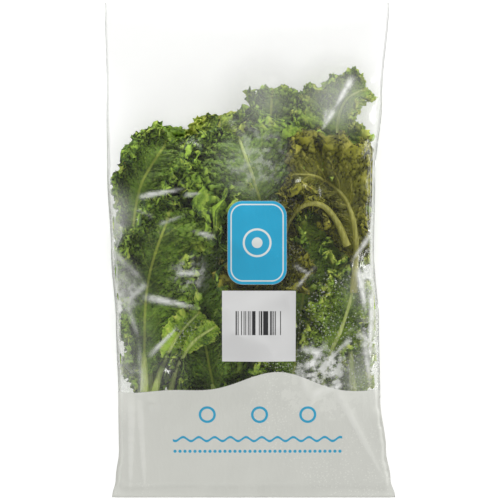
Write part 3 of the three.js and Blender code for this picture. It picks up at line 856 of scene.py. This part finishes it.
# %% Make the leaves
PALE_LEAVES = (
    "leaf_tall",
    "leaf_yellowing",
    "leaf_centre",
    "leaf_top_right",
    "leaf_lower_left",
    "leaf_lower_middle",
)
CURL_SEED = 500
leaf_tops = []
triangles = 0
for index, leaf in enumerate(leaves):
    random = np.random.default_rng(CURL_SEED + index)
    blade = blade_object(leaf, random)
    stem = stem_object(leaf)
    blade.data.materials.append(leaf_finish(leaf))
    stem.data.materials.append(stem_finish(leaf))
    bpy.ops.object.select_all(action="DESELECT")
    stem.select_set(True)
    blade.select_set(True)
    bpy.context.view_layer.objects.active = blade
    bpy.ops.object.join()
    slot = "leaf_pale" if leaf.name in PALE_LEAVES else "leaf_green"
    slot = "leaf_olive" if leaf.olive == 1 else slot
    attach(blade, "root")
    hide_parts(leaf.name)
    corners = np.empty(len(blade.data.vertices) * 3, np.float32)
    blade.data.vertices.foreach_get("co", corners)
    leaf_tops.append(corners.reshape(-1, 3) / MM)
    blade.data.calc_loop_triangles()
    triangles += len(blade.data.loop_triangles)
print("leaf triangles", triangles)

# %% [markdown]
# ## The bag
# The film is thinner than a hair. It bridges from one tuft of curls to the next, hangs a little between
# them, and stands off as a veil where the leaves are low. It is found as a tight skin: a height map of
# the leaves is widened and softened, and a second map is drawn taut over it, from fold to fold, by
# averaging each place with its neighbours as often as it takes. Creases are narrow ridges between two
# points each, thick at one end and thin at the other, and a painted highlight streak runs along each of
# them, painting the film whiter there.

# %% The tops of the leaves
every_top = np.vstack(leaf_tops)
column = np.clip(np.round((every_top[:, 0] - grid_x[0]) / CELL).astype(int), 0, len(grid_x) - 1)
row = np.clip(np.round((every_top[:, 1] - grid_y[0]) / CELL).astype(int), 0, len(grid_y) - 1)
tops = ground + 1.5
np.maximum.at(tops, (row, column), every_top[:, 2])


def widened(values, passes):
    """Gives each cell the highest value next to it."""
    for _ in range(passes):
        padded = np.pad(values, 1, mode="edge")
        rows, columns = values.shape
        shifts = [(a, b) for a in range(3) for b in range(3)]
        values = np.max([padded[a : a + rows, b : b + columns] for a, b in shifts], axis=0)
    return values


print("the leaves' highest point, mm", round(float(tops.max()), 1))

# %% The taut skin
left_fold, right_fold = fold_at(FOLD_LEFT, grid_y)[:, None], fold_at(FOLD_RIGHT, grid_y)[:, None]
across = (grid_x[None, :] - left_fold) / (right_fold - left_fold)
within = (across > 0.012) & (across < 0.988)
SKIN_ROUNDS = 500
SKIN_GAP = 0.8
WELD_EDGE = -189
MOUTH_EDGE = 197
skin_floor = softened(widened(tops, 1), 2) + SKIN_GAP
skin_floor = np.maximum(skin_floor, tops + 0.5)
weld = grid_y < WELD_EDGE
mouth = grid_y > MOUTH_EDGE
fixed = ~within | weld[:, None] | mouth[:, None]
edge_height = np.where(within, roof, ground + 0.6)
edge_height = np.where(weld[:, None], ground + 0.8, edge_height)
skin = np.where(fixed, edge_height, np.maximum(skin_floor, roof - 1))
for _ in range(SKIN_ROUNDS):
    padded = np.pad(skin, 1, mode="edge")
    mean = (padded[:-2, 1:-1] + padded[2:, 1:-1] + padded[1:-1, :-2] + padded[1:-1, 2:]) / 4
    skin = np.where(fixed, edge_height, np.maximum(skin_floor, mean))
print("skin", round(float(skin.max()), 1), "mm at its highest")

# %% Creases
# Each crease: its thick and its thin end in millimetres, its half width and its height.
CREASES = (
    (-88, 42, -52, 48, 1.5, 2.3),
    (-52, 43, -38, 44, 1.1, 1.7),
    (-28, 10, -46, 15, 1.4, 2.2),
    (-58, -19, -34, -17, 1.5, 2.0),
    (-84, -37, -40, -46, 1.9, 2.8),
    (-80, -84, -56, -60, 1.4, 2.2),
    (-76, 26, -92, 33, 1.1, 0.8),
    (-72, 20, -50, 28, 1.2, 1.0),
    (82, 138, 66, 110, 1.8, 2.6),
    (67, 112, 57, 95, 1.6, 2.2),
    (61, 112, 58, 96, 1.2, 1.4),
    (98, 16, 80, -10, 1.8, 2.0),
    (86, -14, 92, -52, 2.0, 2.2),
    (90, -64, 96, -112, 2.0, 2.2),
    (98, 30, 97, -30, 1.8, 2.2),
    (97, -30, 95, -100, 1.8, 2.2),
    (80, -70, 62, -88, 1.6, 1.6),
    (36, -30, 52, -12, 1.1, 1.2),
    (34, -12, 52, -22, 1.1, 1.2),
    (40, -78, 62, -84, 1.8, 2.0),
    (42, -92, 58, -88, 2.0, 2.2),
    (46, -116, 76, -106, 1.9, 2.4),
    (62, -84, 66, -104, 1.6, 2.0),
    (40, -94, 46, -118, 1.6, 1.8),
    (66, -106, 108, -184, 1.8, 1.3),
    (-94, -116, -96, -196, 1.8, 1.4),
    (-88, -118, -84, -196, 1.7, 1.1),
    (-110, 0, -82, -26, 2.2, 1.1),
    (-82, -26, -98, -42, 2.2, 1.2),
    (-98, -42, -88, -70, 2.0, 0.9),
    (-86, -116, -88, -70, 2.0, 0.9),
)


def creased(x, y):
    """How far the film's creases lift it at x and y, and how strongly a painted highlight streak whitens it
    there.
    """
    lift, white = np.zeros_like(x), np.zeros_like(x)
    for x1, y1, x2, y2, half, height in CREASES:
        dx, dy = x2 - x1, y2 - y1
        length = math.hypot(dx, dy)
        t = ((x - x1) * dx + (y - y1) * dy) / length**2
        aside = np.abs((x - x1) * dy - (y - y1) * dx) / length
        taper = smooth_between(t, -0.08, 0.22) * (1 - smooth_between(t, 0.55, 1.08))
        width = half * (1.3 - 0.8 * np.clip(t, 0, 1))
        lift = lift + 0.55 * height * taper * np.exp(-((aside / (1.9 * half)) ** 2))
        # Painted highlight: a white streak along each crease.
        white = np.maximum(white, height / 2.2 * taper * np.exp(-((aside / width) ** 2)))
    return lift, white


print("creases", len(CREASES))


# %% Rumples
RUMPLE_SEED = 3
RUMPLE_HEIGHT = 0.35


def rumpled(x, y):
    """Soft random waves of the film, as a sum of a few slanted sines."""
    random = np.random.default_rng(RUMPLE_SEED)
    total = np.zeros_like(x)
    for _ in range(14):
        wave = random.uniform(14, 60)
        turn = random.normal(0, 0.5)
        run = x * math.cos(turn) + y * math.sin(turn)
        total += np.sin(2 * np.pi * run / wave + random.uniform(0, 6.3))
    return RUMPLE_HEIGHT * total / 4


# %% The places of the film's points
ACROSS = 144
BACK_ACROSS = 36
LONG = 216
rows_y = np.linspace(FOLD_Y[0], FOLD_Y[-1], LONG + 1)
left, right = fold_at(FOLD_LEFT, rows_y)[:, None], fold_at(FOLD_RIGHT, rows_y)[:, None]


def sheet_places(count):
    """The shares of the width, x and y of a sheet's grid, closer together towards the folds."""
    even = np.linspace(0, 1, count + 1)
    share = 0.35 * (0.5 - 0.5 * np.cos(np.pi * even)) + 0.65 * even
    return share, left + (right - left) * share, np.repeat(rows_y[:, None], count + 1, 1)


print("film grid", ACROSS, "by", LONG)

# %% The front and the back film
OFF_FLOOR = 0.02
ring_share, x, y = sheet_places(ACROSS)
open_share = 4 * ring_share * (1 - ring_share)
lift, streak_highlight = creased(x, y)
front = grid_value(skin, x, y) + lift + rumpled(x, y) * open_share
back = np.maximum(grid_value(ground, x, y), OFF_FLOOR)
fold_height = np.maximum(back[:, :1], 0.4), np.maximum(back[:, -1:], 0.4)
seam = np.where(ring_share < 0.5, fold_height[0], fold_height[1])
near_fold = 1 - smooth_between(np.minimum(ring_share, 1 - ring_share), 0, 0.018)
front = front * (1 - near_fold) + seam * near_fold
front = np.maximum(front, back + 0.35)
sheet_front = np.stack([x, y, front], axis=-1)
_, back_x, back_y = sheet_places(BACK_ACROSS)
back = np.maximum(grid_value(ground, back_x, back_y), OFF_FLOOR)
sheet_back = np.stack([back_x, back_y, back], axis=-1)
ring = np.concatenate([sheet_front, sheet_back[:, -2:0:-1], sheet_front[:, :1]], axis=1)
print("points round the tube", ring.shape[1])

# %% Make the bag
FILM_THICKNESS = 0.12
bag = grid_object("film_bag", ring)
is_front, is_crease = np.zeros(ring.shape[:2]), np.zeros(ring.shape[:2])
is_front[:, : ACROSS + 1] = 1
is_front[:, -1] = 1
is_crease[:, : ACROSS + 1] = streak_highlight
keep_values(bag, "front", is_front)
keep_values(bag, "crease", is_crease)
print("bag's corners", len(bag.data.vertices))

# %% Close the bag's seam and weld
bpy.ops.object.mode_set(mode="EDIT")
bpy.ops.mesh.select_all(action="SELECT")
bpy.ops.mesh.remove_doubles(threshold=0.00001)
bpy.ops.mesh.select_all(action="DESELECT")
bpy.ops.object.mode_set(mode="OBJECT")
for corner in bag.data.vertices:
    corner.select = corner.co.y < (FOLD_Y[0] + 0.1) * MM
bpy.ops.object.mode_set(mode="EDIT")
bpy.ops.mesh.select_mode(type="VERT")
bpy.ops.mesh.edge_face_add()
bpy.ops.mesh.select_all(action="SELECT")
bpy.ops.mesh.normals_make_consistent(inside=False)
bpy.ops.object.mode_set(mode="OBJECT")
thicken(bag, FILM_THICKNESS, -1)
bpy.ops.object.shade_smooth()
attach(bag, "root")
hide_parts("bag")
bag.data.calc_loop_triangles()
print("film triangles", len(bag.data.loop_triangles))

# %% [markdown]
# ## The film's finish
# Clear film shows what is behind it and adds a thin veil and the shine of its wrinkles. Along its creases
# a white streak is painted on as a highlight, and in a few places a veil is painted as a reflection. A
# Mix Shader lets most of the light straight through, more at a steep look than at a shallow one, and the
# rest meets a glossy plastic. The print is opaque ink on the same film: a pale band with a waved upper
# edge, a blue panel, and plain blue marks. It is drawn from the place on the front film, as if it were
# printed straight down onto it.

# %% Outlines on the film
BAND_MIDDLE = -0.107
PANEL_MIDDLE = (0.0056, 0.0057)
PANEL_HALF = (0.0232, 0.0328)
PANEL_CORNER = 0.012


def rounded_box(f, x, y, middle, half, corner):
    """How far a place is outside a box with round corners, below 0 inside it."""
    dx = abs(x - middle[0]) - (half[0] - corner)
    dy = abs(y - middle[1]) - (half[1] - corner)
    ax, ay = f.math("MAXIMUM", dx, 0.0), f.math("MAXIMUM", dy, 0.0)
    return (ax * ax + ay * ay) ** 0.5 - corner


def circle(x, y, middle, radius):
    dx, dy = x - middle[0], y - middle[1]
    return (dx * dx + dy * dy) ** 0.5 - radius


film = Finish("clear_film")
place = film.place()
px, py, _ = film.parts(place)
print("panel, mm", [round(2 * half / MM, 1) for half in PANEL_HALF])

# %% The band and the blue panel
edge_blur = 0.0003
front_side = film.ramp(film.attribute("front"), 0.5, 0.9)
long_wave, short_wave = film.math("SINE", px * 34 + 0.9), film.math("SINE", px * 71)
band_edge = BAND_MIDDLE + 0.0075 * long_wave + 0.003 * short_wave
band = film.ramp(band_edge - py, -edge_blur, edge_blur)
panel_distance = rounded_box(film, px, py, PANEL_MIDDLE, PANEL_HALF, PANEL_CORNER)
blue_panel = film.ramp(0 - panel_distance, -edge_blur, edge_blur)
inset = 1 - film.ramp(abs(panel_distance + 0.0028), 0.0003, 0.0007)
rings = 1 - film.ramp(abs(circle(px, py, PANEL_MIDDLE, 0.0105)), 0.0006, 0.001)
dot = 1 - film.ramp(circle(px, py, PANEL_MIDDLE, 0.0042), -0.0002, 0.0002)
white_marks = film.math("MAXIMUM", inset, rings + dot)
printed = front_side * film.math("MAXIMUM", band, blue_panel)
print("band's upper edge, mm", round(BAND_MIDDLE / MM))

# %% The blue marks on the band
RING_PLACES = (-0.034, 0.0076, 0.046)
LINES_MIDDLE = 0.006
LINES_HALF = 0.068
marks = 0
for middle_x in RING_PLACES:
    ring_mark = 1 - film.ramp(abs(circle(px, py, (middle_x, -0.131), 0.0058)), 0.0008, 0.0012)
    marks = ring_mark + marks
line_ends = film.ramp(LINES_HALF - abs(px - LINES_MIDDLE), 0, 0.0006)
wave_line = abs(py + 0.151 + 0.0016 * film.math("SINE", px * 500))
long_line = (1 - film.ramp(wave_line, 0.0008, 0.0012)) * line_ends
to_and_fro = film.math("PINGPONG", px - LINES_MIDDLE, 0.004)
dots_row = circle(to_and_fro, py, (0.002, -0.161), 0.0013)
dots = (1 - film.ramp(dots_row, -0.0002, 0.0002)) * line_ends
blue_marks = film.math("MINIMUM", marks + long_line + dots, 1.0)
print("rings", len(RING_PLACES))

# %% Condensation, and veils partly painted as reflection
# Each cloudy patch of condensation: its middle and radius in metres, and its strength.
CLOUDS = (
    (0.056, -0.096, 0.028, 0.5),
    (0.04, -0.112, 0.018, 0.45),
    (-0.1, -0.035, 0.02, 0.14),
    (-0.094, -0.1, 0.02, 0.07),
    (-0.048, -0.02, 0.02, 0.16),
    (0.094, -0.07, 0.022, 0.2),
    (0.005, 0.072, 0.04, 0.07),
    (0.07, -0.12, 0.02, 0.3),
)
# Each soft veil, partly the film's own milkiness where it stands off from the leaves and partly a painted
# reflection: its middle, radius and strength, which is below 0 where wet film clings to a leaf and is
# clearer.
MILKY_AND_REFLECTION_VEILS = (
    (0.07, 0.122, 0.045, 0.18),
    (-0.052, 0.1, 0.024, -0.03),
    (0.01, 0.122, 0.045, 0.12),
    (0.0, 0.07, 0.045, 0.07),
    (-0.07, -0.096, 0.03, 0.06),
    (-0.104, -0.108, 0.03, 0.1),
    (-0.096, -0.07, 0.03, 0.08),
    (-0.112, 0.03, 0.03, 0.2),
    (-0.112, -0.03, 0.035, 0.3),
    (-0.112, -0.09, 0.03, 0.16),
    (0.1, -0.03, 0.035, 0.16),
    (0.09, -0.1, 0.03, 0.16),
)
cloud_and_painted_veil = 0
for middle_x, middle_y, radius, strength in CLOUDS:
    spot = 1 - film.ramp(circle(px, py, (middle_x, middle_y), 0.0), 0.2 * radius, radius)
    cloud_and_painted_veil = spot * strength + cloud_and_painted_veil
cloud_and_painted_veil = cloud_and_painted_veil * (0.1 + 1.3 * film.ramp(film.noise(place, 150, 3, 0.6), 0.44, 0.64))
# Painted reflection: the veils add white film in soft round patches, partly the film's own milkiness.
for middle_x, middle_y, radius, strength in MILKY_AND_REFLECTION_VEILS:
    cloud_and_painted_veil = cloud_and_painted_veil + (1 - film.ramp(circle(px, py, (middle_x, middle_y), 0.0), 0.0, radius)) * strength
damp = film.ramp(film.noise(place, 14, 2), 0.5, 0.64) * (1 - film.ramp(py + abs(px) * 0.3, 0.03, 0.06))
drops = (1 - film.ramp(film.cells(place, 430), 0.2, 0.3)) * damp
specks = film.ramp(film.noise(place, 900, 1), 0.66, 0.72) * damp
steep = film.add("ShaderNodeFresnel", {}, {"IOR": 1.3})
# The crease mask is a painted highlight streak, broken up by noise.
crease = film.attribute("crease")
crease = crease * (0.5 + 0.6 * film.ramp(film.noise(place, 120, 3, 0.6), 0.34, 0.6))
# Painted highlight: the crease streaks whiten the film, beside the condensation and the veils.
haze_and_highlight = 0.003 + cloud_and_painted_veil + 0.08 * specks + 0.2 * drops + 0.54 * crease
veil = haze_and_highlight + 0.006 + 0.32 * steep
print("cloudy patches", len(CLOUDS), "veils", len(MILKY_AND_REFLECTION_VEILS))

# %% Ink and film
BLUE = srgb(32, 166, 208)
BAND_GREY = srgb(221, 222, 215)
INK_HIGHLIGHT = srgb(240, 240, 236)
PANEL_WHITE = srgb(225, 230, 228)
MIST = (0.86, 0.87, 0.84, 1)
INK_COVER = 0.86
MOST_COVER = 0.97
cover = film.math("MINIMUM", veil + printed * INK_COVER, MOST_COVER)
ink = film.blend(blue_marks, BAND_GREY, BLUE)
# Painted highlight: the ink is lighter along the creases.
ink = film.blend(crease * 0.5, ink, INK_HIGHLIGHT)
ink = film.blend(blue_panel, ink, film.blend(white_marks, BLUE, PANEL_WHITE))
colour = film.blend(printed, MIST, ink)
crinkle = film.noise(film.stretched(place, (1, 0.35, 1)), 130, 3, 0.55)
plastic = film.glossy(
    {
        "Base Color": colour,
        "Metallic": (1 - printed) * (1 - film.ramp(haze_and_highlight, 0.02, 0.16)),
        "Roughness": 0.16 + 0.2 * printed,
        "Normal": film.bump(crinkle, 0.3, 0.002),
    }
)
clear = film.add("ShaderNodeBsdfTransparent", {}, {"Color": (0.99, 0.99, 0.99, 1)})
covered = film.add("ShaderNodeMixShader", {}, {0: cover, 1: clear, 2: plastic})
bag.data.materials.append(film.surface(covered))
print("film nodes", len(film.tree.nodes))

# %% [markdown]
# ## The sticker
# The sticker is a square of matt paper that follows the film under it, a little stiffer than the film
# itself. It is a grid that takes its heights from the film's map, softened, and then gets the thickness
# of paper. Plain black bars of uneven widths stand in its middle.

# %% Sticker
STICKER_MIDDLE = (7.0, -60.0)
STICKER_SIZE = (58.0, 56.0)
STICKER_CELLS = 48
STICKER_LIFT = 0.25
PAPER_THICKNESS = 0.15
u = np.linspace(-0.5, 0.5, STICKER_CELLS + 1)
sx, sy = np.meshgrid(*(middle + size * u for middle, size in zip(STICKER_MIDDLE, STICKER_SIZE)))
under = grid_value(skin, sx, sy) + creased(sx, sy)[0] + rumpled(sx, sy)
raised = np.maximum(softened(under, 10), under) + STICKER_LIFT
sticker = grid_object("paper_sticker", np.stack([sx, sy, raised], axis=-1))
thicken(sticker, PAPER_THICKNESS, 1)
bpy.ops.object.shade_smooth_by_angle(angle=math.radians(40))
print("sticker, mm", STICKER_SIZE, "at a height of", round(float(raised.max()), 1))

# %% The sticker's paper and bars
BARS_MIDDLE = (0.0068, -0.0575)
BARS_HALF = (0.0182, 0.0095)
BARS_A_METRE = 1500
paper = Finish("sticker_paper")
place = paper.place()
qx, qy, _ = paper.parts(place)
step = paper.math("FLOOR", (qx - 0.007) * BARS_A_METRE)
bar_noise = paper.add("ShaderNodeTexWhiteNoise", {"noise_dimensions": "1D"}, {"W": step})
bar_zone = paper.ramp(BARS_HALF[0] - abs(qx - BARS_MIDDLE[0]), 0, 0.0001)
bar_zone = bar_zone * paper.ramp(BARS_HALF[1] - abs(qy - BARS_MIDDLE[1]), 0, 0.0001)
bars = paper.ramp(bar_noise, 0.45, 0.5) * bar_zone
fibres = paper.noise(place, 800, 3)
shader = paper.glossy(
    {
        "Base Color": paper.blend(bars, srgb(212, 212, 212), srgb(30, 30, 32)),
        "Roughness": 0.6 + 0.2 * fibres,
        "Normal": paper.bump(fibres, 0.08, 0.0002),
    }
)
sticker.data.materials.append(paper.surface(shader))
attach(sticker, "root")
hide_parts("sticker")
print("bars, mm", [round(2 * half / MM, 1) for half in BARS_HALF])
